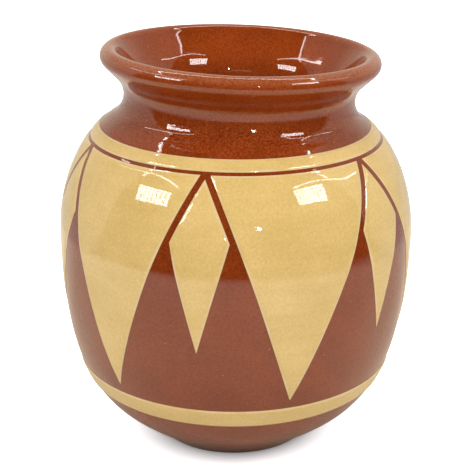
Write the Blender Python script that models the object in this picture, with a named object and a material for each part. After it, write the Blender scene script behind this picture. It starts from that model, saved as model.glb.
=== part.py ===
"""Earthenware vase with cut slip decoration: a thrown clay pot and the cream slip left standing on it.

Metres, +Z up. The origin is the middle of the foot, on the table, and the front is -Y.
A turn is an angle about the pot's axis from the front, positive towards +X.
"""
import math

import bmesh
import bpy
import numpy as np
from mathutils import Vector

# Heights, stacked from the table to the lip
FOOT_TO_BAND = 0.0221
FOOT_BAND_WIDTH = 0.0068
BAND_TO_TIPS = 0.0032
PANEL_HEIGHT = 0.0675
RING_LINE_WIDTH = 0.0008
SHOULDER_BAND_WIDTH = 0.0030
COLLAR_RISE = 0.0089
RIM_RISE = 0.0147

# Radii of the clay, and the height of its widest ring
FOOT_RADIUS = 0.0257
FOOT_BEVEL = 0.0008
BELLY_RADIUS = 0.0555
BELLY_HEIGHT = 0.0704
NECK_RADIUS = 0.0362
NECK_HOLLOW = 0.0080
RIM_OVERHANG = 0.0073

# How far the outline holds its direction at each end of its two long curves
FOOT_FLARE = math.radians(40.5)
FOOT_PULL = 0.0192
BELLY_PULL_DOWN = 0.0562
BELLY_PULL_UP = 0.0018
SHOULDER_SLOPE = math.radians(55.5)
SHOULDER_PULL = 0.0191

# Thickness of the clay, the throat's fall below the neck's hollow, and the lean that the rim took in
# drying and firing, of which the rings of slip follow a share
WALL = 0.0045
FLOOR = 0.0060
LIP_THICKNESS = 0.0058
THROAT_DROP = 0.0020
RIM_LEAN = math.radians(2.15)
LEAN_SHARE = 0.33

# Slip coat: its thickness, the joint under it and the sizes of the cut pattern
SLIP_THICKNESS = 0.0005
SEAT_GAP = 0.0004
LINE_WIDTH = 0.0014
PINCH_HALF_GAP = 0.0010
KITE_CORNER_DROP = 0.0176
KITE_HEIGHT = 0.0506

# Turns of the pattern round the pot, as it was cut by eye: where two panels pinch, each panel's tip,
# each kite's tip, and the bow of each panel's left and right side as a share of its spread
PINCH_TURNS = np.radians((-11.3, 50.4, 113.0, 172.0, 230.5, 289.0))
PANEL_TIP_TURNS = np.radians((18.3, 86.0, 142.5, 201.2, 259.7, 318.6))
KITE_TIP_TURNS = np.radians((-11.3, 50.0, 113.0, 172.0, 230.5, 283.0))
LEFT_BOWS = (0.045, 0.020, 0.045, 0.045, 0.045, 0.100)
RIGHT_BOWS = (0.045, 0.045, 0.045, 0.045, 0.100, 0.045)

# Facets
SEGMENTS = 54
ROW_PITCH = 0.0050
PANEL_COLUMNS = 8
KITE_COLUMNS = 3
CURVE_STEPS = 200
NECK_STEPS = 5
LIP_STEPS = 7
LEVELLING_STEPS = 8
SHARP_EDGE = math.radians(40)
MERGE_DISTANCE = 1e-6

# Levels and sizes that follow from the stack
BAND_TOP = FOOT_TO_BAND + FOOT_BAND_WIDTH
PANEL_TIP = BAND_TOP + BAND_TO_TIPS
PANEL_TOP = PANEL_TIP + PANEL_HEIGHT
SHOULDER_BAND_FOOT = PANEL_TOP + RING_LINE_WIDTH
SHOULDER_BAND_TOP = SHOULDER_BAND_FOOT + SHOULDER_BAND_WIDTH
NECK_HEIGHT = SHOULDER_BAND_TOP + COLLAR_RISE
HEIGHT = NECK_HEIGHT + RIM_RISE
RIM_RADIUS = NECK_RADIUS + RIM_OVERHANG
LIP_RADIUS = LIP_THICKNESS / 2
FULL_TURN = 2 * math.pi
BEND = RIM_LEAN / HEIGHT

RED_CLAY = (0.235, 0.040, 0.007, 1.0)
CREAM_SLIP = (0.700, 0.480, 0.170, 1.0)
GLAZE_ROUGHNESS = 0.08


def clear_scene():
    for old in list(bpy.data.objects):
        bpy.data.objects.remove(old, do_unlink=True)


def material(name, colour):
    finish = bpy.data.materials.new(name)
    finish.use_nodes = True
    shader = finish.node_tree.nodes["Principled BSDF"]
    shader.inputs["Base Color"].default_value = colour
    shader.inputs["Roughness"].default_value = GLAZE_ROUGHNESS
    shader.inputs["Metallic"].default_value = 0.0
    return finish


def run_along(points):
    """Length along an outline, from its first point to each of its points."""
    steps = np.linalg.norm(np.diff(points, axis=0), axis=1)
    return np.concatenate(((0.0,), np.cumsum(steps)))


def bezier(start, start_pull, end_pull, end):
    """Cubic curve from start to end, pulled along two vectors, as points one row pitch apart."""
    t = np.linspace(0, 1, CURVE_STEPS + 1)[:, None]
    first = start + start_pull
    second = end + end_pull
    fine = ((1 - t) ** 3 * start + 3 * (1 - t) ** 2 * t * first
            + 3 * (1 - t) * t ** 2 * second + t ** 3 * end)
    run = run_along(fine)
    stops = np.linspace(0, run[-1], math.ceil(run[-1] / ROW_PITCH) + 1)
    return np.column_stack((np.interp(stops, run, fine[:, 0]), np.interp(stops, run, fine[:, 1])))


def arc(centre, radius, start, end, steps):
    """Circular arc in the plane of the outline, from angle start to angle end."""
    angle = np.linspace(start, end, steps + 1)
    return centre + radius * np.column_stack((np.cos(angle), np.sin(angle)))


def moved_inward(points, depth):
    """An upward outline moved square to itself, into the wall."""
    run = np.gradient(points, axis=0)
    normal = np.column_stack((run[:, 1], -run[:, 0]))
    normal /= np.linalg.norm(normal, axis=1)[:, None]
    return points - depth * normal


def tangent_angle(between, offset):
    """Tilt from upright of the straight flare whose distance along its normal, end to end, is offset."""
    length, bearing = np.hypot(*between), math.atan2(between[1], between[0])
    return math.acos(offset / length) - bearing


# The clay's outline as radius and height: foot to belly, belly to neck
belly = np.array((BELLY_RADIUS, BELLY_HEIGHT))
foot_edge = np.array((FOOT_RADIUS, FOOT_BEVEL))
hollow_centre = np.array((NECK_RADIUS + NECK_HOLLOW, NECK_HEIGHT))
slope = np.array((-math.sin(SHOULDER_SLOPE), math.cos(SHOULDER_SLOPE)))
shoulder_end = hollow_centre - NECK_HOLLOW * np.array((math.cos(SHOULDER_SLOPE), math.sin(SHOULDER_SLOPE)))
flare = np.array((math.cos(FOOT_FLARE), math.sin(FOOT_FLARE)))
upright = np.array((0.0, 1.0))

LOWER_WALL = bezier(foot_edge, FOOT_PULL * flare, -BELLY_PULL_DOWN * upright, belly)
UPPER_WALL = bezier(belly, BELLY_PULL_UP * upright, -SHOULDER_PULL * slope, shoulder_end)
OUTSIDE = np.vstack((LOWER_WALL, UPPER_WALL[1:]))
OUTSIDE_RUN = run_along(OUTSIDE)


def neck_and_lip():
    """Hollow of the neck, the flare and the lip, up the outside and down the inside.

    The outer face of the flare is the line that touches the neck's hollow and the lip on
    opposite sides. The inner face touches the hollow's inner arc and the lip on one side.
    """
    lip_centre = np.array((RIM_RADIUS - LIP_RADIUS, HEIGHT - LIP_RADIUS))
    throat_centre = hollow_centre - THROAT_DROP * upright
    inner_hollow = NECK_HOLLOW + WALL
    outer_tilt = tangent_angle(lip_centre - hollow_centre, -(NECK_HOLLOW + LIP_RADIUS))
    inner_tilt = tangent_angle(lip_centre - throat_centre, LIP_RADIUS - inner_hollow)
    return np.vstack((
        arc(hollow_centre, NECK_HOLLOW, math.pi + SHOULDER_SLOPE, math.pi - outer_tilt, NECK_STEPS)[1:],
        arc(lip_centre, LIP_RADIUS, -outer_tilt, math.pi - inner_tilt, LIP_STEPS),
        arc(throat_centre, inner_hollow, math.pi - inner_tilt, math.pi + SHOULDER_SLOPE, NECK_STEPS),
    ))


def inside_wall():
    """The hollow's outline from the shoulder down to the flat floor: the outside moved in by the wall.

    Over the belly it falls away, more and more, to meet the throat.
    """
    inside = moved_inward(OUTSIDE, WALL)
    fall = np.clip((inside[:, 1] - BELLY_HEIGHT) / (inside[-1, 1] - BELLY_HEIGHT), 0, 1)
    inside[:, 1] -= THROAT_DROP * fall
    floor_edge = (np.interp(FLOOR, inside[:, 1], inside[:, 0]), FLOOR)
    standing = inside[inside[:, 1] > FLOOR + WALL / 2]
    return np.vstack((standing[-2::-2], floor_edge, (0.0, FLOOR)))


def leaned(x, y, z):
    """The pot's bent middle: level at the foot, tilting evenly towards +X up to the rim's lean."""
    tilt = BEND * z
    return Vector((x * math.cos(tilt) + BEND * z * z / 2, y, z - x * math.sin(tilt)))


def new_piece(name, bm, finish, parent):
    """A named object from a finished mesh, shaded smooth away from its sharp edges."""
    mesh = bpy.data.meshes.new(name)
    bm.to_mesh(mesh)
    bm.free()
    mesh.shade_smooth()
    mesh.set_sharp_from_angle(angle=SHARP_EDGE)
    mesh.materials.append(finish)
    piece = bpy.data.objects.new(name, mesh)
    bpy.context.scene.collection.objects.link(piece)
    piece.parent = parent
    return piece


def clay_body(finish, parent):
    """The pot is one outline, from the middle of the foot to the middle of the floor, spun and leaned."""
    underside = ((0.0, 0.0), (FOOT_RADIUS - FOOT_BEVEL, 0.0))
    outline = np.vstack((underside, OUTSIDE, neck_and_lip(), inside_wall()))
    bm = bmesh.new()
    points = [bm.verts.new((radius, 0.0, height)) for radius, height in outline]
    edges = [bm.edges.new(pair) for pair in zip(points, points[1:])]
    bmesh.ops.spin(bm, geom=points + edges, cent=(0, 0, 0), axis=(0, 0, 1), dvec=(0, 0, 0),
                   angle=FULL_TURN, steps=SEGMENTS, use_merge=True, use_duplicate=False)
    bmesh.ops.remove_doubles(bm, verts=bm.verts, dist=MERGE_DISTANCE)
    bmesh.ops.recalc_face_normals(bm, faces=bm.faces)
    for point in bm.verts:
        point.co = leaned(*point.co)
    return new_piece("clay_body", bm, finish, parent)


def clay_radius(height):
    return np.interp(height, OUTSIDE[:, 1], OUTSIDE[:, 0])


def on_clay(turn, level):
    """Point one seat gap outside the clay, at a turn from the front and a level over the table.

    The pot leans and its rings take only a share of the lean, so on the side that leans down a
    ring lies further along the bent middle.
    """
    height = level
    for _ in range(LEVELLING_STEPS):
        sunk = clay_radius(height) * math.sin(turn) * math.sin(BEND * height)
        height = level + (1 - LEAN_SHARE) * sunk
    rise = np.interp(height, OUTSIDE[1:, 1], np.diff(OUTSIDE[:, 0]) / np.diff(OUTSIDE[:, 1]))
    out = SEAT_GAP / math.hypot(1, rise)
    radius = clay_radius(height) + out
    return leaned(radius * math.sin(turn), -radius * math.cos(turn), height - out * rise)


def slip_coat(name, rows, finish, parent, closed=False):
    """A coat of slip: rows of points over the clay, top to bottom and left to right, thickened outward.

    A row of one point is a tip. A closed coat joins each row's last point to its first.
    """
    bm = bmesh.new()
    grid = [[bm.verts.new(point) for point in row] for row in rows]
    for upper, lower in zip(grid, grid[1:]):
        columns = max(len(upper), len(lower))
        for left in range(columns if closed else columns - 1):
            right = (left + 1) % columns
            ring = (upper[left % len(upper)], lower[left % len(lower)],
                    lower[right % len(lower)], upper[right % len(upper)])
            bm.faces.new(dict.fromkeys(ring))
    piece = new_piece(name, bm, finish, parent)
    coat = piece.modifiers.new("coat", "SOLIDIFY")
    coat.thickness = SLIP_THICKNESS
    coat.offset = 1.0
    coat.use_even_offset = True
    return piece


def slip_band(name, foot, top, finish, parent):
    rows = math.ceil((top - foot) / ROW_PITCH)
    turns = np.linspace(0, FULL_TURN, SEGMENTS, endpoint=False)
    points = [[on_clay(turn, level) for turn in turns] for level in np.linspace(top, foot, rows + 1)]
    return slip_coat(name, points, finish, parent, closed=True)


def run_share(level):
    """Share of the way down a panel's height, measured along the curve of the wall."""
    runs = np.interp((PANEL_TOP, level, PANEL_TIP), OUTSIDE[:, 1], OUTSIDE_RUN)
    return (runs[0] - runs[1]) / (runs[0] - runs[2])


def side_turn(pinch, tip, bow, level):
    """Turn of a cut side at a level: it starts beside a pinch and runs, bowed a little, to a panel's tip."""
    start = pinch + math.copysign(PINCH_HALF_GAP / clay_radius(PANEL_TOP), tip - pinch)
    share = run_share(level)
    return start + (tip - start) * (share + 4 * bow * share * (1 - share))


def row_levels(top, foot):
    return np.linspace(top, foot, math.ceil((top - foot) / ROW_PITCH) + 1)


def row_across(left, right, level, columns):
    return [on_clay(turn, level) for turn in np.linspace(left, right, columns + 1)]


def slip_panel(name, left_pinch, right_pinch, tip, bows, finish, parent):
    """Long panel: its top edge lies along the ring line and its two sides meet at its tip."""
    rows = []
    for level in row_levels(PANEL_TOP, PANEL_TIP)[:-1]:
        left = side_turn(left_pinch, tip, bows[0], level)
        right = side_turn(right_pinch, tip, bows[1], level)
        rows.append(row_across(left, right, level, PANEL_COLUMNS))
    rows.append([on_clay(tip, PANEL_TIP)])
    return slip_coat(name, rows, finish, parent)


def slip_kite(name, pinch, panel_tips, bows, tip_turn, finish, parent):
    """Kite: a cut line inside the sides of the panels beside it to its corners, then straight to its tip."""
    corner = PANEL_TOP - KITE_CORNER_DROP
    tip = PANEL_TOP - KITE_HEIGHT
    spread = min(abs(panel_tip - pinch) for panel_tip in panel_tips) * clay_radius(PANEL_TOP)
    apex = PANEL_TOP - PANEL_HEIGHT * (LINE_WIDTH - PINCH_HALF_GAP) / (spread - PINCH_HALF_GAP)

    def upper_sides(level):
        line = LINE_WIDTH / clay_radius(level)
        return (side_turn(pinch, panel_tips[0], bows[0], level) + line,
                side_turn(pinch, panel_tips[1], bows[1], level) - line)

    rows = [[on_clay(pinch, apex)]]
    for level in row_levels(apex, corner)[1:]:
        rows.append(row_across(*upper_sides(level), level, KITE_COLUMNS))
    for level in row_levels(corner, tip)[1:-1]:
        open_share = (level - tip) / (corner - tip)
        left, right = (tip_turn + (side - tip_turn) * open_share for side in upper_sides(corner))
        rows.append(row_across(left, right, level, KITE_COLUMNS))
    rows.append([on_clay(tip_turn, tip)])
    return slip_coat(name, rows, finish, parent)


def build_vase():
    clear_scene()
    vase = bpy.data.objects.new("vase", None)
    bpy.context.scene.collection.objects.link(vase)
    clay = material("glazed_red_clay", RED_CLAY)
    cream = material("glazed_cream_slip", CREAM_SLIP)
    clay_body(clay, vase)
    slip_band("slip_shoulder_band", SHOULDER_BAND_FOOT, SHOULDER_BAND_TOP, cream, vase)
    slip_band("slip_foot_band", FOOT_TO_BAND, BAND_TOP, cream, vase)
    pinches = (*PINCH_TURNS, PINCH_TURNS[0] + FULL_TURN)
    tips = (PANEL_TIP_TURNS[-1] - FULL_TURN, *PANEL_TIP_TURNS)
    for number, (left_bow, right_bow) in enumerate(zip(LEFT_BOWS, RIGHT_BOWS), start=1):
        slip_kite(f"slip_kite_{number}", pinches[number - 1], tips[number - 1:number + 1],
                  (RIGHT_BOWS[number - 2], left_bow), KITE_TIP_TURNS[number - 1], cream, vase)
        slip_panel(f"slip_panel_{number}", pinches[number - 1], pinches[number], tips[number],
                   (left_bow, right_bow), cream, vase)


build_vase()
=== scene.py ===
# %% [markdown]
# # A slip-decorated vase
# This lesson dresses a small thrown vase: a red clay pot, coats of cream slip that were cut back to
# the clay in bands, long panels and kites, and one clear, shiny glaze over everything.
# The solids of the vase are loaded first and stay where they are. Every surface that shows is then
# worked out with numpy on a grid, at the same places, fine enough for a glossy finish.

# %% Load the solids
import math

import bmesh
import bpy
import numpy as np
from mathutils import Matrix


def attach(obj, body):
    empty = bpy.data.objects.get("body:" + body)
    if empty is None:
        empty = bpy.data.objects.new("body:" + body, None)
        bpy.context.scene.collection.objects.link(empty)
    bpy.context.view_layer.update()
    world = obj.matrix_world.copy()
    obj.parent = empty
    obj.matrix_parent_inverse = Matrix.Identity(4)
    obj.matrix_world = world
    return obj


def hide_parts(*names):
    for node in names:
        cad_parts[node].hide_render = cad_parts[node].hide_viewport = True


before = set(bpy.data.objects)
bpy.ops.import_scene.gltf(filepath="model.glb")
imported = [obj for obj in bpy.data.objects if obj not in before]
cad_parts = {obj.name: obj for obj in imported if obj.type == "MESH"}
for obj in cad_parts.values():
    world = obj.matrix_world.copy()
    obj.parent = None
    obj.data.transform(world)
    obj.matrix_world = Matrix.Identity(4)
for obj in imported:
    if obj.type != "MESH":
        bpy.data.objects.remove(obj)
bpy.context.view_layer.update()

MILLIMETRES = 1000

print("solids:", sorted(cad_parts))

# %% [markdown]
# ## The camera
# The picture was taken from a little above with a long lens, so the mouth shows as a wide ellipse and
# the sides hardly converge. Fitting the outline of the pot to a pinhole camera gave the distance,
# the height, the tilt and the focal length, so the camera is simply set to them.

# %% Camera
SENSOR_WIDTH = 36.0
PICTURE_SIDE = 474
FOCAL_LENGTH_PIXELS = 1271
CAMERA_DISTANCE = 0.3883
CAMERA_HEIGHT = 0.2033
CAMERA_TILT_DOWN = math.radians(19.585)
CAMERA_TURN_RIGHT = math.radians(0.16)

camera_data = bpy.data.cameras.new("camera")
camera_data.sensor_width = SENSOR_WIDTH
camera_data.lens = FOCAL_LENGTH_PIXELS * SENSOR_WIDTH / PICTURE_SIDE
camera = bpy.data.objects.new("camera", camera_data)
camera.location = (0.0, -CAMERA_DISTANCE, CAMERA_HEIGHT)
camera.rotation_euler = (math.pi / 2 - CAMERA_TILT_DOWN, 0.0, -CAMERA_TURN_RIGHT)
bpy.context.scene.collection.objects.link(camera)
bpy.context.scene.camera = camera
print("lens:", round(camera_data.lens, 1), "mm")

# %% [markdown]
# ## The outline of the pot
# A thrown pot is an outline spun about an axis. Two Bezier curves make the belly, a round hollow makes
# the neck, and a roll makes the lip. The flare between hollow and lip is the straight line that
# touches both. The inside is the outside moved in by the wall, and it falls a little towards the throat.
# The sizes are those of the solids, but the clay here reaches right up to the slip, because nothing has
# to be held apart.

# %% Outline sizes, in metres
FOOT_RADIUS = 0.0257
FOOT_BEVEL = 0.0008
FOOT_FLARE = math.radians(40.5)
FOOT_PULL = 0.0192
BELLY_RADIUS = 0.0560
BELLY_HEIGHT = 0.0704
BELLY_PULL_DOWN = 0.0562
BELLY_PULL_UP = 0.0018
SHOULDER_SLOPE = math.radians(55.5)
SHOULDER_PULL = 0.0191
NECK_RADIUS = 0.0362
NECK_HEIGHT = 0.1123
NECK_HOLLOW = 0.0080
RIM_RADIUS = 0.0435
HEIGHT = 0.1270
LIP_RADIUS = 0.0029
WALL = 0.0045
FLOOR = 0.0060
THROAT_DROP = 0.0020
THROAT_FLARE = 0.0160
RIM_LEAN = math.radians(2.15)

print("pot:", round(MILLIMETRES * HEIGHT), "mm high,", round(2 * MILLIMETRES * BELLY_RADIUS), "mm wide")


# %% Curves of the outline
def bezier(start, start_pull, end_pull, end, steps=400):
    """Cubic curve: (1-t)^3 start + 3(1-t)^2 t first + 3(1-t) t^2 second + t^3 end."""
    t = np.linspace(0, 1, steps + 1)[:, None]
    first = start + start_pull
    second = end + end_pull
    return (1 - t) ** 3 * start + 3 * (1 - t) ** 2 * t * first + 3 * (1 - t) * t**2 * second + t**3 * end


def arc(centre, radius, start, end, steps=60):
    """Circle: centre + radius (cos a, sin a), with a from start to end."""
    angle = np.linspace(start, end, steps + 1)
    return centre + radius * np.column_stack((np.cos(angle), np.sin(angle)))


def run_along(points):
    """Length along an outline from its first point: the running sum of its steps."""
    return np.concatenate(((0.0,), np.cumsum(np.linalg.norm(np.diff(points, axis=0), axis=1))))


def even_steps(points, pitch):
    """The same outline with points a pitch apart along its length."""
    run = run_along(points)
    stops = np.linspace(0, run[-1], int(np.ceil(run[-1] / pitch)) + 1)
    return np.column_stack([np.interp(stops, run, points[:, axis]) for axis in (0, 1)])


def moved_inward(points, depth):
    """An upward outline moved square to itself into the wall: point - depth * unit normal."""
    run = np.gradient(points, axis=0)
    normal = np.column_stack((run[:, 1], -run[:, 0]))
    return points - depth * normal / np.linalg.norm(normal, axis=1)[:, None]


def tangent_tilt(between, offset):
    """Tilt from upright of the line that touches two circles: acos(offset / distance) - bearing."""
    return math.acos(offset / np.hypot(*between)) - math.atan2(between[1], between[0])


# %% Outside, neck, lip and inside
upright = np.array((0.0, 1.0))
belly = np.array((BELLY_RADIUS, BELLY_HEIGHT))
foot_edge = np.array((FOOT_RADIUS, FOOT_BEVEL))
hollow_centre = np.array((NECK_RADIUS + NECK_HOLLOW, NECK_HEIGHT))
throat_centre = hollow_centre - THROAT_DROP * upright
flare_centre = throat_centre + np.array((THROAT_FLARE - NECK_HOLLOW - WALL, 0.0))
lip_centre = np.array((RIM_RADIUS - LIP_RADIUS, HEIGHT - LIP_RADIUS))
foot_direction = np.array((math.cos(FOOT_FLARE), math.sin(FOOT_FLARE)))
shoulder_direction = np.array((-math.sin(SHOULDER_SLOPE), math.cos(SHOULDER_SLOPE)))
shoulder_end = hollow_centre - NECK_HOLLOW * np.array((math.cos(SHOULDER_SLOPE), math.sin(SHOULDER_SLOPE)))

lower_wall = bezier(foot_edge, FOOT_PULL * foot_direction, -BELLY_PULL_DOWN * upright, belly)
upper_wall = bezier(belly, BELLY_PULL_UP * upright, -SHOULDER_PULL * shoulder_direction, shoulder_end)
outside = np.vstack((lower_wall, upper_wall[1:]))

outer_tilt = tangent_tilt(lip_centre - hollow_centre, -(NECK_HOLLOW + LIP_RADIUS))
inner_tilt = tangent_tilt(lip_centre - flare_centre, LIP_RADIUS - THROAT_FLARE)
neck = arc(hollow_centre, NECK_HOLLOW, math.pi + SHOULDER_SLOPE, math.pi - outer_tilt)
lip = arc(lip_centre, LIP_RADIUS, -outer_tilt, math.pi - inner_tilt)
throat = np.vstack((
    arc(flare_centre, THROAT_FLARE, math.pi - inner_tilt, math.pi),
    arc(throat_centre, NECK_HOLLOW + WALL, math.pi, math.pi + SHOULDER_SLOPE)[1:],
))

inside = moved_inward(outside, WALL)
fall = np.clip((inside[:, 1] - BELLY_HEIGHT) / (inside[-1, 1] - BELLY_HEIGHT), 0, 1)
inside[:, 1] -= THROAT_DROP * fall
floor_edge = np.array((np.interp(FLOOR, inside[:, 1], inside[:, 0]), FLOOR))
inside = inside[inside[:, 1] > FLOOR][::-1]
print("flare:", round(math.degrees(outer_tilt), 1), "degrees")
print("floor:", round(2 * MILLIMETRES * floor_edge[0], 1), "mm across")

# %% [markdown]
# ## Where a point of the pot stands
# The pot is not quite true. Its rim leans two degrees to the right, as soft clay does in drying, and the
# fingers left faint rings. Every piece goes through the same function, so that the slip stays on the
# clay wherever the wall wanders. A turn is an angle from the front, positive to the right.

# %% Standing a point
RING_PITCH = 0.0070
RING_DEPTH = 0.000012
OVAL = 0.00012
OVAL_TURN = 0.8
TRUE_BELOW = 0.020
LEAN_SHARE = 0.33
LEAN_ROUNDS = 4
BEND = RIM_LEAN / HEIGHT


def stand(radius, turn, height):
    """A point of the upright pot, made uneven and leaned.

    Radius gains faint spiral rings and a slight oval, which fade towards the foot. The middle bends: at
    height z the ring tilts by BEND z towards +X and moves BEND z^2 / 2 that way. The foot stays level.
    """
    fade = np.clip(height / TRUE_BELOW, 0, 1)
    rings = RING_DEPTH * np.sin(2 * np.pi * height / RING_PITCH + turn)
    uneven = rings + OVAL * np.cos(2 * turn + OVAL_TURN)
    radius = radius + np.where(radius > FOOT_RADIUS, fade * uneven, 0.0)
    x = radius * np.sin(turn)
    y = -radius * np.cos(turn)
    tilt = BEND * height
    return np.stack((x * np.cos(tilt) + BEND * height**2 / 2, y, height - x * np.sin(tilt)), axis=-1)


outside_slope = np.gradient(outside[:, 0]) / np.gradient(outside[:, 1])
outside_run = run_along(outside)


def clay_radius(height):
    """Radius of the clay's outside at a height, read off the outline."""
    return np.interp(height, outside[:, 1], outside[:, 0])


def on_pot(turn, level, out):
    """Point a distance out from the clay, at a turn and at a level over the table.

    The slip's rings take only a share of the pot's lean, so the height along the bent middle is
    level + (1 - LEAN_SHARE) x sin(tilt), found in a few rounds.
    """
    height = level
    for _ in range(LEAN_ROUNDS):
        height = level + (1 - LEAN_SHARE) * clay_radius(height) * np.sin(turn) * np.sin(BEND * height)
    slope = np.interp(height, outside[:, 1], outside_slope)
    square = out / np.hypot(1, slope)
    return stand(clay_radius(height) + square, turn, height - square * slope)


print("rim moved", round(MILLIMETRES * BEND * HEIGHT**2 / 2, 2), "mm to the right")

# %% [markdown]
# ## Meshes from grids
# A grid of points becomes quads, and the edges that meet are merged: a ring onto itself, a pole into one
# point. The faces are then made to point outwards, and shaded smooth. A grid can carry a number for each
# point, which the finish reads as an attribute.

# %% Grid to mesh
MERGE = 1e-7


def grid_piece(name, points, wrap=True, **marks):
    """Object from a grid of points, rows by columns: cell (i, j) is the quad of its four corners."""
    rows, columns = points.shape[:2]
    index = np.arange(rows * columns).reshape(rows, columns)
    if wrap:
        index = np.column_stack((index, index[:, 0]))
    quads = np.stack((index[:-1, :-1], index[1:, :-1], index[1:, 1:], index[:-1, 1:]), axis=-1)
    mesh = bpy.data.meshes.new(name)
    mesh.from_pydata(points.reshape(-1, 3).tolist(), [], quads.reshape(-1, 4).tolist())
    for mark, values in marks.items():
        mesh.attributes.new(mark, "FLOAT", "POINT").data.foreach_set("value", values.ravel())
    bm = bmesh.new()
    bm.from_mesh(mesh)
    bmesh.ops.remove_doubles(bm, verts=bm.verts, dist=MERGE)
    bmesh.ops.recalc_face_normals(bm, faces=bm.faces)
    bm.to_mesh(mesh)
    bm.free()
    mesh.shade_smooth()
    piece = bpy.data.objects.new(name, mesh)
    bpy.context.scene.collection.objects.link(piece)
    print(name, len(mesh.polygons), "faces")
    return piece


def dress(piece, node, finish):
    """The piece stands for a solid, rides with the vase and takes its finish."""
    piece.data.materials.append(finish)
    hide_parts(node)
    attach(piece, "root")


# %% [markdown]
# ## Glazed finishes
# Both finishes are one shader: a colour under a clear glaze. The gloss is the shader's own reflection at
# the index of a lead glaze. From clay to slip the colour below it changes, and over slip the glaze is a
# little softer, so that windows in it look milky. The colour is never flat: clay is clouded and speckled,
# and slip lies in faint bands and clouds. Slip thins along its cut edges. There it carries a painted
# highlight, a pale line, and at the very edge the clay comes through, painted darker than the clay as the
# shade in the cut.

# %% Material and textures
GLAZE_ROUGHNESS = 0.04
SLIP_ROUGHNESS = 0.056
GLAZE_INDEX = 1.58


def shader_tree(name, roughness):
    """New material with its node tree and its Principled shader, set to a clear gloss."""
    finish = bpy.data.materials.new(name)
    finish.use_nodes = True
    tree = finish.node_tree
    shader = tree.nodes["Principled BSDF"]
    shader.inputs["Roughness"].default_value = roughness
    shader.inputs["IOR"].default_value = GLAZE_INDEX
    return finish, tree, shader


def object_spot(tree):
    """Object coordinates, as one vector and as X, Y and Z."""
    spot = tree.nodes.new("ShaderNodeTexCoord").outputs["Object"]
    parts = tree.nodes.new("ShaderNodeSeparateXYZ")
    tree.links.new(spot, parts.inputs["Vector"])
    return spot, parts.outputs


def point_mark(tree, name):
    """Number that the mesh carries for each of its points."""
    node = tree.nodes.new("ShaderNodeAttribute")
    node.attribute_name = name
    return node.outputs["Fac"]


def place(tree, texture, scale, stretch=(1, 1, 1)):
    """Texture node on Object coordinates. Scale is in repeats per metre."""
    spot = tree.nodes.new("ShaderNodeTexCoord")
    mapping = tree.nodes.new("ShaderNodeMapping")
    mapping.inputs["Scale"].default_value = stretch
    node = tree.nodes.new(texture)
    node.inputs["Scale"].default_value = scale
    tree.links.new(spot.outputs["Object"], mapping.inputs["Vector"])
    tree.links.new(mapping.outputs["Vector"], node.inputs["Vector"])
    return node


def noise(tree, scale, detail=3.0, stretch=(1, 1, 1)):
    """Noise as a factor from 0 to 1."""
    node = place(tree, "ShaderNodeTexNoise", scale, stretch)
    node.inputs["Detail"].default_value = detail
    return node.outputs["Fac"]


# %% Numbers in a material
DARKEST_CELL = 0.25
SPECK_STEP = 0.01


def between(tree, value, start, end):
    """0 up to start, 1 from end on, and a smooth step between; start may be the larger."""
    node = tree.nodes.new("ShaderNodeMapRange")
    node.interpolation_type = "SMOOTHSTEP"
    node.inputs["From Min"].default_value = start
    node.inputs["From Max"].default_value = end
    tree.links.new(value, node.inputs["Value"])
    return node.outputs["Result"]


def math_node(tree, operation, *values):
    """Math node; a value is a number or a socket."""
    node = tree.nodes.new("ShaderNodeMath")
    node.operation = operation
    for socket, value in zip(node.inputs, values):
        if isinstance(value, bpy.types.NodeSocket):
            tree.links.new(value, socket)
        else:
            socket.default_value = value
    return node.outputs["Value"]


def specks(tree, scale, size, share):
    """Round specks: the middles of Voronoi cells, in a share of the cells. Size is in cells.

    The random shade of a cell lies mostly in the half above DARKEST_CELL, so half the share is added to it.
    """
    cells = place(tree, "ShaderNodeTexVoronoi", scale)
    limit = DARKEST_CELL + share / 2
    chosen = between(tree, cells.outputs["Color"], limit, limit - SPECK_STEP)
    middle = between(tree, cells.outputs["Distance"], size, size / 2)
    return math_node(tree, "MULTIPLY", middle, chosen)


# %% Colours and bumps in a material
def ramp(tree, factor, *stops):
    """Colour ramp through (position, colour) stops."""
    node = tree.nodes.new("ShaderNodeValToRGB")
    elements = node.color_ramp.elements
    for element, (position, colour) in zip(elements, (stops[0], stops[-1])):
        element.position = position
        element.color = (*colour, 1)
    for position, colour in stops[1:-1]:
        elements.new(position).color = (*colour, 1)
    tree.links.new(factor, node.inputs["Fac"])
    return node.outputs["Color"]


def mixer(tree, mode, colour):
    """Colour mix node with its first colour linked."""
    node = tree.nodes.new("ShaderNodeMix")
    node.data_type = "RGBA"
    node.blend_type = mode
    tree.links.new(colour, node.inputs["A"])
    return node


def multiply(tree, colour, by, amount=None):
    """Two colours multiplied, all over or by an amount."""
    node = mixer(tree, "MULTIPLY", colour)
    node.inputs["Factor"].default_value = 1.0
    if amount is not None:
        tree.links.new(amount, node.inputs["Factor"])
    tree.links.new(by, node.inputs["B"])
    return node.outputs["Result"]


def tint(tree, colour, amount, shade):
    """A colour mixed towards a shade by an amount."""
    node = mixer(tree, "MIX", colour)
    node.inputs["B"].default_value = (*shade, 1)
    tree.links.new(amount, node.inputs["Factor"])
    return node.outputs["Result"]


def bump(tree, shader, heights):
    """Chain of bumps: (height socket, distance in metres) pairs, the last one feeding the shader."""
    normal = None
    for height, distance in heights:
        node = tree.nodes.new("ShaderNodeBump")
        node.inputs["Distance"].default_value = distance
        tree.links.new(height, node.inputs["Height"])
        if normal:
            tree.links.new(normal, node.inputs["Normal"])
        normal = node.outputs["Normal"]
    tree.links.new(normal, shader.inputs["Normal"])


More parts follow.
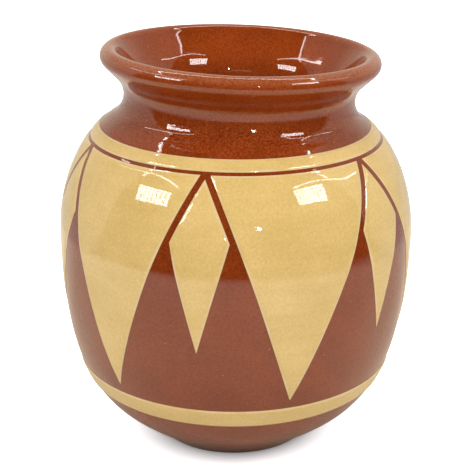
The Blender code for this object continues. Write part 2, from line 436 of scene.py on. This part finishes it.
# %% Red clay colours
CLAY_CLOUDS = ((0.30, (0.205, 0.0310, 0.0036)), (0.70, (0.245, 0.0390, 0.0050)))
CLAY_SPECKLE = ((0.30, (0.85, 0.66, 0.45)), (0.72, (1.15, 1.38, 2.20)))
COLLAR_SAND = ((0.32, (0.70, 0.58, 0.48)), (0.68, (1.26, 1.46, 1.95)))
# painted light: the shoulder and the inside of the mouth are made lighter
SHOULDER_PAINTED_LIGHT = ((0.0, (1.0, 1.0, 1.0)), (1.0, (1.20, 1.24, 1.20)))
MOUTH_PAINTED_LIGHT = ((0.0, (1.0, 1.0, 1.0)), (1.0, (1.18, 1.20, 1.15)))
DARK_GRAIN = (0.110, 0.020, 0.005)
PALE_GRAIN = (0.420, 0.190, 0.110)
# painted sheen along the crest of the lip
PAINTED_LIP_SHEEN = (0.375, 0.122, 0.051)

# %% Red clay places, in metres over the table or in millimetres past the top of the lip
SHOULDER_LEVELS = (0.096, 0.108)
COLLAR_PAST_LIP = (-15.0, -23.0)
MOUTH_PAST_LIP = (0.0, 8.0)
OUTSIDE_PAST_LIP = (1.0, -4.0)
CREST_BEFORE_LIP = 1.6
CREST_REACH = (3.2, 0.8)
CREST_SHEEN_BREAKS = (0.25, 0.72)

# %% Red clay bumps, in metres
LINE_BUMP = 0.00016
CLAY_WAVE_BUMP = 0.00005
CLAY_GRAIN_BUMP = 0.000018
LEVEL_LINES = (0.02, 0.02, 1)
INSIDE_DEPTH = 0.15


# %% Glazed red clay
def glazed_clay():
    """Red-brown clay: broad clouds times fine speckle, with a few dark and pale grains.

    Above the belly the clay is painted lighter, as painted light from above, and its throwing lines show as
    fine level ridges. Inside the mouth it is painted lighter still, and smoother. The collar is sandy, and
    along the crest of the lip lies a pale, speckled painted sheen.
    """
    finish, tree, shader = shader_tree("glazed_red_clay", GLAZE_ROUGHNESS)
    shoulder = between(tree, object_spot(tree)[1]["Z"], *SHOULDER_LEVELS)
    past_lip = point_mark(tree, "past_lip")

    colour = ramp(tree, noise(tree, scale=90), *CLAY_CLOUDS)
    colour = multiply(tree, colour, ramp(tree, noise(tree, scale=1700, detail=2), *CLAY_SPECKLE))
    # painted light: the shoulder is made lighter, as where light from above falls on it
    colour = multiply(tree, colour, ramp(tree, shoulder, *SHOULDER_PAINTED_LIGHT))
    colour = tint(tree, colour, specks(tree, scale=230, size=0.09, share=0.25), DARK_GRAIN)
    colour = tint(tree, colour, specks(tree, scale=310, size=0.08, share=0.15), PALE_GRAIN)
    collar = math_node(tree, "MULTIPLY", shoulder, between(tree, past_lip, *COLLAR_PAST_LIP))
    colour = multiply(tree, colour, ramp(tree, noise(tree, scale=2000, detail=2), *COLLAR_SAND), collar)
    mouth = between(tree, past_lip, *MOUTH_PAST_LIP)
    # painted light: inside the mouth the clay is made lighter still
    colour = multiply(tree, colour, ramp(tree, mouth, *MOUTH_PAINTED_LIGHT))
    # painted sheen: a pale line along the crest of the lip, broken into speckles by noise
    from_crest = math_node(tree, "ABSOLUTE", math_node(tree, "ADD", past_lip, CREST_BEFORE_LIP))
    sheen_breaks = between(tree, noise(tree, scale=1900, detail=2), *CREST_SHEEN_BREAKS)
    painted_sheen = math_node(tree, "MULTIPLY", between(tree, from_crest, *CREST_REACH), sheen_breaks)
    colour = tint(tree, colour, painted_sheen, PAINTED_LIP_SHEEN)
    tree.links.new(colour, shader.inputs["Base Color"])

    outer = between(tree, past_lip, *OUTSIDE_PAST_LIP)
    depth = math_node(tree, "MULTIPLY_ADD", outer, 1 - INSIDE_DEPTH, INSIDE_DEPTH)
    lines = math_node(tree, "MULTIPLY", noise(tree, scale=330, detail=2, stretch=LEVEL_LINES), shoulder)
    lines = math_node(tree, "MULTIPLY", lines, depth)
    waves = noise(tree, scale=90, detail=1)
    grain = math_node(tree, "MULTIPLY", noise(tree, scale=800, detail=2), depth)
    bump(tree, shader, ((lines, LINE_BUMP), (waves, CLAY_WAVE_BUMP), (grain, CLAY_GRAIN_BUMP)))
    return finish


red_clay = glazed_clay()
print("finish:", red_clay.name, "with", len(red_clay.node_tree.nodes), "nodes")

# %% Cream slip colours, bumps in metres and edges in millimetres
SLIP_CLOUDS = ((0.28, (0.680, 0.460, 0.155)), (0.72, (0.760, 0.525, 0.195)))
SLIP_BANDS = ((0.30, (0.97, 0.965, 0.93)), (0.70, (1.03, 1.03, 1.06)))
SLIP_GRAIN = ((0.30, (0.935, 0.92, 0.87)), (0.70, (1.06, 1.07, 1.12)))
SLIP_SPECK = (0.420, 0.260, 0.085)
# painted highlight and painted shade for the cut edges of the slip
PAINTED_EDGE_HIGHLIGHT = (0.800, 0.560, 0.310)
BARE_EDGE_PAINTED_SHADE = (0.130, 0.040, 0.006)
EDGE_HIGHLIGHT_WITHIN = (0.9, 0.5)
BARE_SHADE_WITHIN = (0.24, 0.06)
EDGE_HIGHLIGHT_PATCHES = (0.22, 0.70)
LEVEL_BANDS = (1, 1, 8)
SLIP_WAVE_BUMP = 0.00004
SLIP_GRAIN_BUMP = 0.000005


# %% Glazed cream slip
def glazed_slip():
    """Cream slip: clouds, faint level bands, grain and a few specks; its edges get painted highlight and
    shade.
    """
    finish, tree, shader = shader_tree("glazed_cream_slip", SLIP_ROUGHNESS)
    edge = point_mark(tree, "edge")

    colour = ramp(tree, noise(tree, scale=70), *SLIP_CLOUDS)
    bands = noise(tree, scale=50, detail=4, stretch=LEVEL_BANDS)
    colour = multiply(tree, colour, ramp(tree, bands, *SLIP_BANDS))
    colour = multiply(tree, colour, ramp(tree, noise(tree, scale=1500, detail=2), *SLIP_GRAIN))
    colour = tint(tree, colour, specks(tree, scale=120, size=0.035, share=0.30), SLIP_SPECK)
    # painted highlight: a pale line along the cut edges, in patches
    patches = between(tree, noise(tree, scale=160, detail=2), *EDGE_HIGHLIGHT_PATCHES)
    pale = math_node(tree, "MULTIPLY", between(tree, edge, *EDGE_HIGHLIGHT_WITHIN), patches)
    colour = tint(tree, colour, pale, PAINTED_EDGE_HIGHLIGHT)
    # clay coming through at the very edge, painted darker than the clay as the shade in the cut
    colour = tint(tree, colour, between(tree, edge, *BARE_SHADE_WITHIN), BARE_EDGE_PAINTED_SHADE)
    tree.links.new(colour, shader.inputs["Base Color"])

    waves = noise(tree, scale=90, detail=1)
    grain = noise(tree, scale=800, detail=2)
    bump(tree, shader, ((waves, SLIP_WAVE_BUMP), (grain, SLIP_GRAIN_BUMP)))
    return finish


cream_slip = glazed_slip()
print("finish:", cream_slip.name, "with", len(cream_slip.node_tree.nodes), "nodes")

# %% [markdown]
# ## The clay
# The whole wall is one outline, from the middle of the foot up the outside, over the lip, down the inside
# and across the floor. Each row of the grid is one point of it carried round the pot. The rows are marked
# with their way along the wall from the top of the lip, for the finish.

# %% Clay wall
AROUND = 320
WALL_PITCH = 0.0014
LIP_PITCH = 0.0006
FLOOR_PITCH = 4 * WALL_PITCH

underside = np.array(((0.0, 0.0), (FOOT_RADIUS / 2, 0.0), (FOOT_RADIUS - FOOT_BEVEL, 0.0)))
wall_outline = np.vstack((
    underside,
    even_steps(outside, WALL_PITCH),
    even_steps(np.vstack((neck, lip, throat)), LIP_PITCH)[1:],
    even_steps(inside, WALL_PITCH)[1:],
    even_steps(np.vstack((floor_edge, (0.0, FLOOR))), FLOOR_PITCH),
))
turns = np.linspace(0, 2 * np.pi, AROUND, endpoint=False)
wall_grid = stand(wall_outline[:, :1], turns[None, :], wall_outline[:, 1:] + 0 * turns[None, :])
wall_run = run_along(wall_outline)
lip_top = np.argmax(wall_outline[:, 1])
past_lip = MILLIMETRES * (wall_run - wall_run[lip_top])[:, None] + 0 * turns[None, :]
clay_wall = grid_piece("clay_wall", wall_grid, past_lip=past_lip)
dress(clay_wall, "clay_body", red_clay)

# %% [markdown]
# ## The slip
# Slip is a coat about a third of a millimetre thick. Where a tool cut it, the glaze rounds its edge, and
# that edge is what catches the light along the lines. So each patch is a shell that is thickest in the
# middle and falls to nothing over its cut edges, as a quarter of a wave does.

# %% Slip sizes, in metres
SLIP = 0.00036
SLIP_KEY = 0.00010
EDGE_ROUND = 0.0014
BAND_ROUND = 0.0011
FOOT_BAND = (0.0218, 0.0284)
PANEL_TIP = 0.0307
PANEL_TOP = 0.0998
SHOULDER_BAND = (0.1004, 0.1036)
LINE_WIDTH = 0.0017
NO_LENGTH = 1e-9

print("slip:", round(MILLIMETRES * SLIP, 2), "mm thick")
print("cut lines:", round(MILLIMETRES * LINE_WIDTH, 2), "mm wide")


# %% Coat of slip
def soft_least(*distances):
    """Least of some distances, smooth where two are alike: (sum of d^-3)^(-1/3)."""
    return sum((distance + NO_LENGTH) ** -3.0 for distance in distances) ** (-1 / 3)


def slip_shell(turn, level, near_edge, edge_round):
    """Face and back of a coat over grids of turn and level, and the mark for its finish in millimetres.

    Thickness over the clay is SLIP sin(pi d / 2 e), with d the distance to the nearest cut edge and e the
    width of the rounding. The back is keyed a little into the clay in the same way.
    """
    swell = np.sin(np.pi / 2 * np.clip(near_edge / edge_round, 0, 1))
    face = on_pot(turn, level, SLIP * swell)
    back = on_pot(turn, level, -SLIP_KEY * swell)
    return face, back, MILLIMETRES * near_edge


# %% Slip bands
BAND_STEPS = 33


def slip_band(name, node, foot, top):
    """Ring of slip between two levels: a closed loop across the band, carried round the pot."""
    across = (1 - np.cos(np.linspace(0, np.pi, BAND_STEPS))) / 2
    level = (foot + (top - foot) * across)[:, None] + 0 * turns[None, :]
    slope = np.hypot(1, np.interp(level, outside[:, 1], outside_slope))
    near_edge = soft_least((level - foot) * slope, (top - level) * slope)
    face, back, mark = slip_shell(turns[None, :] + 0 * level, level, near_edge, BAND_ROUND)
    loop = np.concatenate((face, back[::-1]))
    band = grid_piece(name, loop, edge=np.concatenate((mark, mark[::-1])))
    dress(band, node, cream_slip)


slip_band("shoulder_slip", "slip_shoulder_band", *SHOULDER_BAND)
slip_band("foot_slip", "slip_foot_band", *FOOT_BAND)

# %% [markdown]
# ## Panels and kites
# The potter cut the pattern by eye. Each pair of panels pinches together under the ring line, the panels
# run down to a point, and a kite hangs from each pinch between two cut lines. The turns of the pinches
# and of the tips, and how far each side bows, are the hand's own, so they are listed. Everything else
# follows from them.

# %% Pattern layout
PINCH_TURNS = np.radians((-11.6, 51.1, 113.0, 172.0, 230.5, 289.0))
PANEL_TIP_TURNS = np.radians((18.5, 86.0, 142.5, 201.2, 259.7, 318.1))
KITE_TIP_TURNS = np.radians((-11.7, 51.2, 113.0, 172.0, 230.5, 283.0))
LEFT_BOWS = (0.072, 0.062, 0.045, 0.045, 0.045, 0.045)
RIGHT_BOWS = (0.010, 0.045, 0.045, 0.045, 0.075, 0.044)
BOW_PEAK = 27 / 4
PINCH_HALF_GAP = 0.0012
KITE_CORNERS = (0.0816, 0.0822)
KITE_TIP = 0.0479

top_run = np.interp(PANEL_TOP, outside[:, 1], outside_run)
panel_run = top_run - np.interp(PANEL_TIP, outside[:, 1], outside_run)
print("panels:", round(MILLIMETRES * panel_run, 1), "mm long down the wall")


# %% Sides of the patches
def level_at(run):
    """Level of a point that lies a length down the wall from the panels' top edge."""
    return np.interp(top_run - run, outside_run, outside[:, 1])


def run_at(level):
    """Length down the wall from the panels' top edge to a level."""
    return top_run - np.interp(level, outside[:, 1], outside_run)


def side_turn(pinch, tip, bow, run):
    """Turn of a cut side from beside a pinch to a tip.

    It goes evenly along the wall, plus a bow of BOW_PEAK bow s (1 - s)^2, which is most, and just bow, a
    third of the way down.
    """
    start = pinch + np.sign(tip - pinch) * PINCH_HALF_GAP / clay_radius(PANEL_TOP)
    share = run / panel_run
    return start + (tip - start) * (share + BOW_PEAK * bow * share * (1 - share) ** 2)


def between_sides(left, right, run, columns):
    """Grid of turn and level between two sides, and the distances of its points to each side.

    A side that turns by t for a length s down the wall leans by atan(r dt/ds), which shortens distances
    measured along a row by the cosine of that lean.
    """
    level = level_at(run)
    radius = clay_radius(level)
    across = (1 + np.sin(np.linspace(-np.pi / 2, np.pi / 2, columns))) / 2
    turn = left[:, None] + (right - left)[:, None] * across
    to_left, to_right = (
        np.abs(turn - side[:, None]) * (radius / np.hypot(1, radius * np.gradient(side, run)))[:, None]
        for side in (left, right)
    )
    return turn, level[:, None] + 0 * turn, to_left, to_right


def slip_patch(name, node, turn, level, near_edge):
    """Closed coat of slip over a grid, with its face and its back joined round the edge."""
    face, back, mark = slip_shell(turn, level, near_edge, EDGE_ROUND)
    shell = np.concatenate((face, back[:, ::-1]), axis=1)
    patch = grid_piece(name, shell, edge=np.concatenate((mark, mark[:, ::-1]), axis=1))
    dress(patch, node, cream_slip)


# %% Panels
PANEL_ROWS = 91
PANEL_COLUMNS = 49
TOP_CROWDING = 1.6


def slip_panel(number, left_pinch, right_pinch, tip, bows):
    """Long panel: rows crowd at the top edge, and the two sides meet at the tip."""
    run = panel_run * np.linspace(0, 1, PANEL_ROWS) ** TOP_CROWDING
    left = side_turn(left_pinch, tip, bows[0], run)
    right = side_turn(right_pinch, tip, bows[1], run)
    turn, level, to_left, to_right = between_sides(left, right, run, PANEL_COLUMNS)
    near_edge = soft_least(to_left, to_right, run[:, None] + 0 * turn)
    slip_patch(f"panel_{number}_slip", f"slip_panel_{number}", turn, level, near_edge)


# %% Kites
KITE_ROWS = (31, 4, 51)
KITE_COLUMNS = 33

tip_run = run_at(KITE_TIP)
corner_runs = [run_at(level) for level in KITE_CORNERS]
print("kites:", round(MILLIMETRES * tip_run, 1), "mm down to the tip")


def kite_side(pinch, panel_tip, bow, corner_run, tip_turn, run):
    """Side of a kite: the side of a panel moved in by the line to the corner, then straight to the tip."""
    reach = np.minimum(run, corner_run)
    outward = np.sign(panel_tip - pinch)
    from_pinch = outward * (side_turn(pinch, panel_tip, bow, reach) - pinch)
    side = pinch + outward * np.maximum(from_pinch - LINE_WIDTH / clay_radius(level_at(reach)), 0)
    closing = np.clip((run - corner_run) / (tip_run - corner_run), 0, 1)
    return side + (tip_turn - side) * closing


def slip_kite(number, pinch, panel_tips, bows, tip_turn):
    """Kite: rows run from where the lines leave room for it, through both corners, to its tip."""
    spread = np.abs(panel_tips - pinch).min() * clay_radius(PANEL_TOP) - PINCH_HALF_GAP
    apex_run = panel_run * (LINE_WIDTH - PINCH_HALF_GAP) / spread
    stops = (apex_run, *sorted(corner_runs), tip_run)
    run = np.unique(np.concatenate([
        np.linspace(start, end, rows) for start, end, rows in zip(stops, stops[1:], KITE_ROWS)
    ]))
    left, right = (
        kite_side(pinch, panel_tip, bow, corner_run, tip_turn, run)
        for panel_tip, bow, corner_run in zip(panel_tips, bows, corner_runs)
    )
    turn, level, to_left, to_right = between_sides(left, right, run, KITE_COLUMNS)
    slip_patch(f"kite_{number}_slip", f"slip_kite_{number}", turn, level, soft_least(to_left, to_right))


# %% Panels and kites round the pot
pinches = np.append(PINCH_TURNS, PINCH_TURNS[0] + 2 * math.pi)
tips = np.insert(PANEL_TIP_TURNS, 0, PANEL_TIP_TURNS[-1] - 2 * math.pi)
for number, (left_bow, right_bow) in enumerate(zip(LEFT_BOWS, RIGHT_BOWS), start=1):
    slip_panel(number, pinches[number - 1], pinches[number], tips[number], (left_bow, right_bow))
    slip_kite(number, pinches[number - 1], tips[number - 1:number + 1],
              (RIGHT_BOWS[number - 2], left_bow), KITE_TIP_TURNS[number - 1])

# %% [markdown]
# ## The studio
# A shiny pot shows its surroundings, so they are set as a photographer would set them: a round white table,
# a white tent that arches over from behind and reaches forward in two wings, and a dark room on the
# camera's side. The far table and the front of the room are there for the camera and are kept out of
# the reflections.
# White is made by a glow that only the camera and reflections see, so it adds no light to the pot. Close to
# the foot the glow is shut off by distance from the axis, a painted contact shadow, as little light gets
# under a pot, and the real shadow stays. In reflections the table is painted warm near the pot, as light
# thrown back by the pot, neutral further out and a little dimmer on the right.

# %% White finish
WHITE = (0.95, 0.95, 0.95)


def white_finish(name, mirrored):
    """White that can glow, with a colour for reflections; also its tree, shader, rays and colour mixes."""
    finish = bpy.data.materials.new(name)
    finish.use_nodes = True
    finish.cycles.emission_sampling = "NONE"
    tree = finish.node_tree
    shader = tree.nodes["Principled BSDF"]
    shader.inputs["Roughness"].default_value = 1.0
    shader.inputs["Specular IOR Level"].default_value = 0.0
    rays = tree.nodes.new("ShaderNodeLightPath").outputs
    pairs = []
    for socket, plain in (("Base Color", WHITE), ("Emission Color", (1, 1, 1))):
        pair = tree.nodes.new("ShaderNodeMix")
        pair.data_type = "RGBA"
        pair.inputs["A"].default_value = (*plain, 1)
        pair.inputs["B"].default_value = (*mirrored, 1)
        tree.links.new(rays["Is Glossy Ray"], pair.inputs["Factor"])
        tree.links.new(pair.outputs["Result"], shader.inputs[socket])
        pairs.append(pair)
    return finish, tree, shader, rays, pairs


def glow_for(tree, rays, to_camera, to_reflections):
    """Strength of a glow: one for the camera and through glass, another for reflections."""
    seen = math_node(tree, "MAXIMUM", rays["Is Camera Ray"], rays["Is Transmission Ray"])
    seen = math_node(tree, "MULTIPLY", seen, to_camera)
    return math_node(tree, "MULTIPLY_ADD", rays["Is Glossy Ray"], to_reflections, seen)


# %% Table finish, with distances in metres
TABLE_MIRRORED = (0.68, 0.59, 0.46)
TABLE_FAR_MIRRORED = (0.63, 0.60, 0.56)
TABLE_COOLS = (0.14, 0.34)
TABLE_FADE = (0.40, 0.22)
TABLE_GLOW = 0.85
RIGHT_SIDE = (0.03, 0.14)
RIGHT_LOSS = 0.22
BACK_SIDE = (-0.03, 0.07)
BACK_KEPT = 0.7
BACK_SHADE = 0.6
FOOT_SHADE = (0.022, 0.040)
FOOT_SHADE_CURVE = 0.6
BELLY_SHADE = (0.005, 0.125)


def floor_finish():
    """White table in a pool of light.

    Close to the foot the glow is shut off, a painted contact shadow. In reflections the table is painted
    with the warmth of light the pot throws back near it and turns neutral further out, the right side is
    dimmer, and the front fades to nothing with distance. Behind the pot the shade of the belly reaches
    further.
    """
    finish, tree, shader, rays, pairs = white_finish("floor_white", TABLE_MIRRORED)
    spot, parts = object_spot(tree)
    away = tree.nodes.new("ShaderNodeVectorMath")
    away.operation = "LENGTH"
    tree.links.new(spot, away.inputs[0])
    away = away.outputs["Value"]
    warmth = ramp(tree, between(tree, away, *TABLE_COOLS), (0.0, TABLE_MIRRORED), (1.0, TABLE_FAR_MIRRORED))
    for pair in pairs:
        tree.links.new(warmth, pair.inputs["B"])

    # painted contact shadow: the glow fades in with distance from the axis of the pot
    open_air = math_node(tree, "POWER", between(tree, away, *FOOT_SHADE), FOOT_SHADE_CURVE)
    behind = between(tree, parts["Y"], *BACK_SIDE)
    nearer = math_node(tree, "MULTIPLY", away, math_node(tree, "MULTIPLY_ADD", behind, -BACK_SHADE, 1.0))
    right = between(tree, parts["X"], *RIGHT_SIDE)
    dimmer = math_node(tree, "MULTIPLY_ADD", right, -RIGHT_LOSS, TABLE_GLOW)
    pool = math_node(tree, "MULTIPLY", between(tree, nearer, *BELLY_SHADE), dimmer)
    tree.links.new(glow_for(tree, rays, open_air, pool), shader.inputs["Emission Strength"])

    far_back = math_node(tree, "MULTIPLY", behind, BACK_KEPT)
    kept = math_node(tree, "MAXIMUM", between(tree, away, *TABLE_FADE), far_back)
    lost = math_node(tree, "MULTIPLY", math_node(tree, "SUBTRACT", 1.0, kept), rays["Is Glossy Ray"])
    blend = tree.nodes.new("ShaderNodeMixShader")
    tree.links.new(lost, blend.inputs["Fac"])
    tree.links.new(shader.outputs["BSDF"], blend.inputs[1])
    tree.links.new(tree.nodes.new("ShaderNodeBsdfTransparent").outputs["BSDF"], blend.inputs[2])
    tree.links.new(blend.outputs["Shader"], tree.nodes["Material Output"].inputs["Surface"])
    return finish


# %% Tent finish
TENT_MIRRORED = (0.47, 0.43, 0.36)
TENT_LOW = (0.75, 0.50)
TENT_GLOW = 0.60
TENT_LOW_GAIN = 0.45


def tent_finish():
    """White cloth that is brighter in reflections towards the table, which throws light up on it."""
    finish, tree, shader, rays, _ = white_finish("tent_white", TENT_MIRRORED)
    low = between(tree, object_spot(tree)[1]["Z"], *TENT_LOW)
    mirrored_glow = math_node(tree, "MULTIPLY_ADD", low, TENT_LOW_GAIN, TENT_GLOW)
    tree.links.new(glow_for(tree, rays, 1.0, mirrored_glow), shader.inputs["Emission Strength"])
    return finish


# %% Table, tent and room
STUDIO_RADIUS = 1.6
TENT_EDGE = math.radians(110)
WINGS = math.radians(32)
WINGS_FROM = 0.40
WINGS_SPREAD = 0.32
TABLE_RINGS = 9
STUDIO_AROUND = 97
DOME_STEPS = 33


def stage_piece(name, points, finish, in_reflections=True):
    """Part of the room: it is not the vase's, and may be kept out of reflections."""
    piece = grid_piece(name, points, wrap=False)
    piece.data.materials.append(finish)
    piece.visible_glossy = in_reflections
    return piece


def front_edge(across):
    """Angle over the front where the cloth ends.

    It is TENT_EDGE - WINGS s^2 (3 - 2 s), where s goes from 0 in the middle to 1 at both sides.
    """
    share = np.clip((np.abs(np.sin(across)) - WINGS_FROM) / WINGS_SPREAD, 0, 1)
    return TENT_EDGE - WINGS * share**2 * (3 - 2 * share)


def dome(across, start, end, steps=DOME_STEPS):
    """Grid over a slice of a dome, from pole to pole along X, between two angles over the front."""
    over = start + (end - start) * np.linspace(0, 1, steps)[:, None]
    side = np.sin(across) + 0 * over
    spread = np.cos(across)
    return STUDIO_RADIUS * np.stack((side, -spread * np.cos(over), spread * np.sin(over)), axis=-1)


floor_white = floor_finish()
tent_white = tent_finish()
radius, angle = np.meshgrid(
    np.linspace(0, STUDIO_RADIUS, TABLE_RINGS),
    np.linspace(-np.pi, np.pi, STUDIO_AROUND),
)
table = np.stack((radius * np.sin(angle), -radius * np.cos(angle), 0 * angle), axis=-1)
stage_piece("floor", table, floor_white)
across = np.linspace(-np.pi / 2, np.pi / 2, STUDIO_AROUND)
stage_piece("tent", dome(across, front_edge(across), math.pi), tent_white)
stage_piece("room_front", dome(across, 0.0, front_edge(across)), tent_white, in_reflections=False)

# %% [markdown]
# ## Seams and hems
# A cloth tent lets more light through along its edges. Three stretches of its front edge shine in a seam,
# and on each side a hem runs from front to back. In the glaze they are the thin bright lines in the mouth,
# on the rim, on the shoulder and across the belly. They are narrow slices of the tent's own dome, so they
# lie along the cloth, and only reflections see them.

# %% Glows that only reflections see
UNSEEN_BY = ("camera", "diffuse", "transmission", "volume_scatter", "shadow")


def glow(name, strength):
    """Plain glow, seen in reflections but giving no light of its own."""
    finish = bpy.data.materials.new(name)
    finish.use_nodes = True
    finish.cycles.emission_sampling = "NONE"
    shader = finish.node_tree.nodes["Principled BSDF"]
    shader.inputs["Base Color"].default_value = (0, 0, 0, 1)
    shader.inputs["Emission Color"].default_value = (1, 1, 1, 1)
    shader.inputs["Emission Strength"].default_value = strength
    return finish


def reflected_only(piece):
    """A piece of the stage that only reflections see."""
    for kind in UNSEEN_BY:
        setattr(piece, f"visible_{kind}", False)


# %% Seams
SEAM = math.radians(2.2)
SEAM_STEPS = 65
SEAM_ROWS = 3
FRONT_REACH = 0.56
SIDE_REACH = (0.64, 0.76)
FRONT_SEAM_GLOW = 20.0
SIDE_SEAM_GLOW = 10.0


def tent_seam(name, start, end, strength):
    """Bright strip inside the tent's front edge, between two sines of the angle across."""
    across = np.linspace(math.asin(start), math.asin(end), SEAM_STEPS)
    edge = front_edge(across)
    strip = dome(across, edge - SEAM, edge, SEAM_ROWS)
    reflected_only(stage_piece(name, strip, glow(name, strength)))


tent_seam("front_seam", -FRONT_REACH, FRONT_REACH, FRONT_SEAM_GLOW)
tent_seam("left_seam", -SIDE_REACH[1], -SIDE_REACH[0], SIDE_SEAM_GLOW)
tent_seam("right_seam", SIDE_REACH[0], SIDE_REACH[1], SIDE_SEAM_GLOW)

# %% Hems
HEM = math.radians(1.2)
HEM_OVER = np.radians((54, 114))
HEM_INSET = 0.99
HEM_GLOW = 12.0


def tent_hem(name, side, front, back, bend):
    """Bright strip along one side of the tent, just inside the cloth.

    The sine of its angle across goes from front to back as a quarter of a wave does, over the share of its
    length that bend gives, and then stays.
    """
    bent = np.sin(np.pi / 2 * np.clip(np.linspace(0, 1 / bend, DOME_STEPS), 0, 1))[:, None]
    across = side * np.arcsin(front + (back - front) * bent) + HEM * np.array((-0.5, 0.5))
    reflected_only(stage_piece(name, HEM_INSET * dome(across, *HEM_OVER), glow(name, HEM_GLOW)))


tent_hem("left_hem", side=-1, front=0.53, back=0.79, bend=0.8)
tent_hem("right_hem", side=1, front=0.54, back=0.86, bend=0.7)

# %% [markdown]
# ## The lamps
# A soft box is a sheet of light behind a grid. Its light comes from a plain area lamp, and what the glaze
# shows of it is a panel of small glowing squares with gaps, the bright window on the belly. A small lamp
# makes the sharp points of light. Two broad lamps, one above the camera and a weaker one behind, fill the
# shadows as the ceiling of a room does. Reflections leave them out.


# %% Area lamp
def area_lamp(name, where, rotation, size, power):
    """Rectangular lamp that lights the vase and is not seen itself."""
    data = bpy.data.lights.new(name, "AREA")
    data.shape = "RECTANGLE"
    data.size, data.size_y = size
    data.energy = power
    lamp = bpy.data.objects.new(name, data)
    lamp.location = where
    lamp.rotation_euler = rotation
    lamp.visible_camera = False
    lamp.visible_glossy = False
    bpy.context.scene.collection.objects.link(lamp)
    print(name, power, "W")


# %% Glowing grid
LAMP_DISTANCE = 0.453
GRID_GAP = 0.11


def glowing_grid(name, turn, rise, size, cells, strength, roll=0.0):
    """Panel of glowing squares at a turn from the front and a rise over the table, facing the pot.

    Each cell of the panel holds one square, smaller by GRID_GAP of the cell on every side.
    """
    inward = -np.array((math.cos(rise) * math.sin(turn), -math.cos(rise) * math.cos(turn), math.sin(rise)))
    level = np.array((math.cos(turn), math.sin(turn), 0.0))
    sideways = math.cos(roll) * level + math.sin(roll) * np.cross(level, inward)
    upwards = np.cross(sideways, inward)
    edges = np.array((GRID_GAP, 1 - GRID_GAP))
    steps = [(np.arange(count)[:, None] + edges).ravel() / count - 0.5 for count in cells]
    across, up = np.meshgrid(size[0] * steps[0], size[1] * steps[1])
    centre = np.array((0, 0, HEIGHT / 2)) - LAMP_DISTANCE * inward
    points = centre + across[..., None] * sideways + up[..., None] * upwards
    corner = np.arange(across.size).reshape(across.shape)
    squares = np.stack((corner[::2, ::2], corner[::2, 1::2], corner[1::2, 1::2], corner[1::2, ::2]), axis=-1)
    mesh = bpy.data.meshes.new(name)
    mesh.from_pydata(points.reshape(-1, 3).tolist(), [], squares.reshape(-1, 4).tolist())
    mesh.materials.append(glow(name, strength))
    grid = bpy.data.objects.new(name, mesh)
    bpy.context.scene.collection.objects.link(grid)
    reflected_only(grid)
    print(name, len(mesh.polygons), "squares")
    return centre


# %% Lamps in their places
GRID_CELLS = (8, 6)
GRID_GLOW = 20.0
SMALL_LAMP_GLOW = 150.0
FILL_SIZE = (0.9, 0.9)


def soft_box(name, turn, rise, size, roll, power):
    """Lamp, and the glowing grid that stands for it in reflections. Angles are in degrees."""
    turn, rise, roll = np.radians((turn, rise, roll))
    centre = glowing_grid(f"{name}_grid", turn, rise, size, GRID_CELLS, GRID_GLOW, roll)
    area_lamp(name, centre, (math.pi / 2 - rise, 0, turn), size, power)


soft_box("soft_box_left", turn=-58.3, rise=29.8, size=(0.172, 0.090), roll=9, power=0.14)
soft_box("soft_box_right", turn=54.6, rise=33.0, size=(0.150, 0.090), roll=-9, power=0.28)
glowing_grid("small_lamp", turn=math.radians(14.5), rise=math.radians(18), size=(0.016, 0.016),
             cells=(1, 1), strength=SMALL_LAMP_GLOW)
area_lamp("front_fill", where=(0.0, -0.59, 1.16), rotation=(math.radians(28), 0.0, 0.0),
          size=FILL_SIZE, power=8.8)
area_lamp("back_fill", where=(0.0, 0.96, 0.86), rotation=(math.radians(-50), 0.0, 0.0),
          size=FILL_SIZE, power=3.0)

# %% Dark room
ROOM_GREY = (0.008, 0.008, 0.008)

world = bpy.data.worlds.new("dark_room")
world.use_nodes = True
world.node_tree.nodes["Background"].inputs["Color"].default_value = (*ROOM_GREY, 1)
bpy.context.scene.world = world
bpy.context.scene.view_settings.view_transform = "Standard"
print("room:", world.name)
